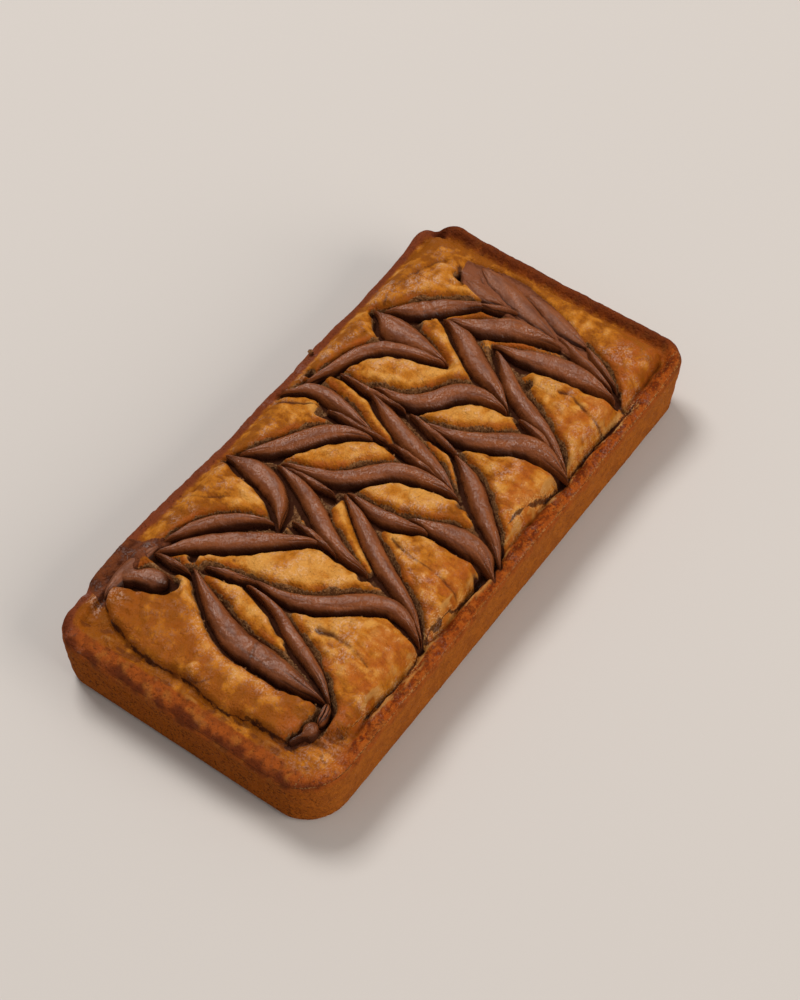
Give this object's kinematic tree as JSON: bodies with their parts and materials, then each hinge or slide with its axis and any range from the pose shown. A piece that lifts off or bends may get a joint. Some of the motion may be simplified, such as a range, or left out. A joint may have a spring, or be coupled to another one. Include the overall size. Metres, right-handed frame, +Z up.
{
  "type": "banana bread",
  "caption": "Uncut rectangular loaf cake with a raised crust rim, lobed top and ridges of chocolate spread dragged through it.",
  "frame": {"origin": "centre of the flat foot that the loaf rests on", "axes": "+X along the loaf, +Y across it, +Z up"},
  "size_m": [0.255, 0.128, 0.0365],
  "materials": {
    "crust": "baked crust, satin on the lobes and matte on the walls",
    "chocolate": "satin"
  },
  "bodies": {
    "root": {"loaf": "crust", "smear_left": "chocolate", "blob_left": "chocolate", "long_left": "chocolate", "thin_left": "chocolate", "leaf_left": "chocolate", "slant_left": "chocolate", "hook_left": "chocolate", "bow_left": "chocolate", "drop_left": "chocolate", "slant_far": "chocolate", "tail_far": "chocolate", "patch_far": "chocolate", "band_far": "chocolate", "leaf_near": "chocolate", "thin_near": "chocolate", "wave_near": "chocolate", "slant_mid": "chocolate", "wave_mid": "chocolate", "lean_mid": "chocolate", "wave_far": "chocolate", "lean_far": "chocolate", "leaf_far": "chocolate", "patch_end": "chocolate", "rope_start": "chocolate", "rope_end": "chocolate", "slant_right": "chocolate", "short_right": "chocolate", "leaf_right": "chocolate", "lean_right": "chocolate", "bow_right": "chocolate", "strip_right": "chocolate", "long_right": "chocolate", "leaf_end": "chocolate", "strip_end": "chocolate", "edge_end": "chocolate", "twist_left": "chocolate", "twist_near": "chocolate", "twist_mid": "chocolate", "twist_slant": "chocolate", "twist_top": "chocolate", "twist_far": "chocolate", "twist_low": "chocolate", "twist_end": "chocolate"}
  },
  "joints": []
}
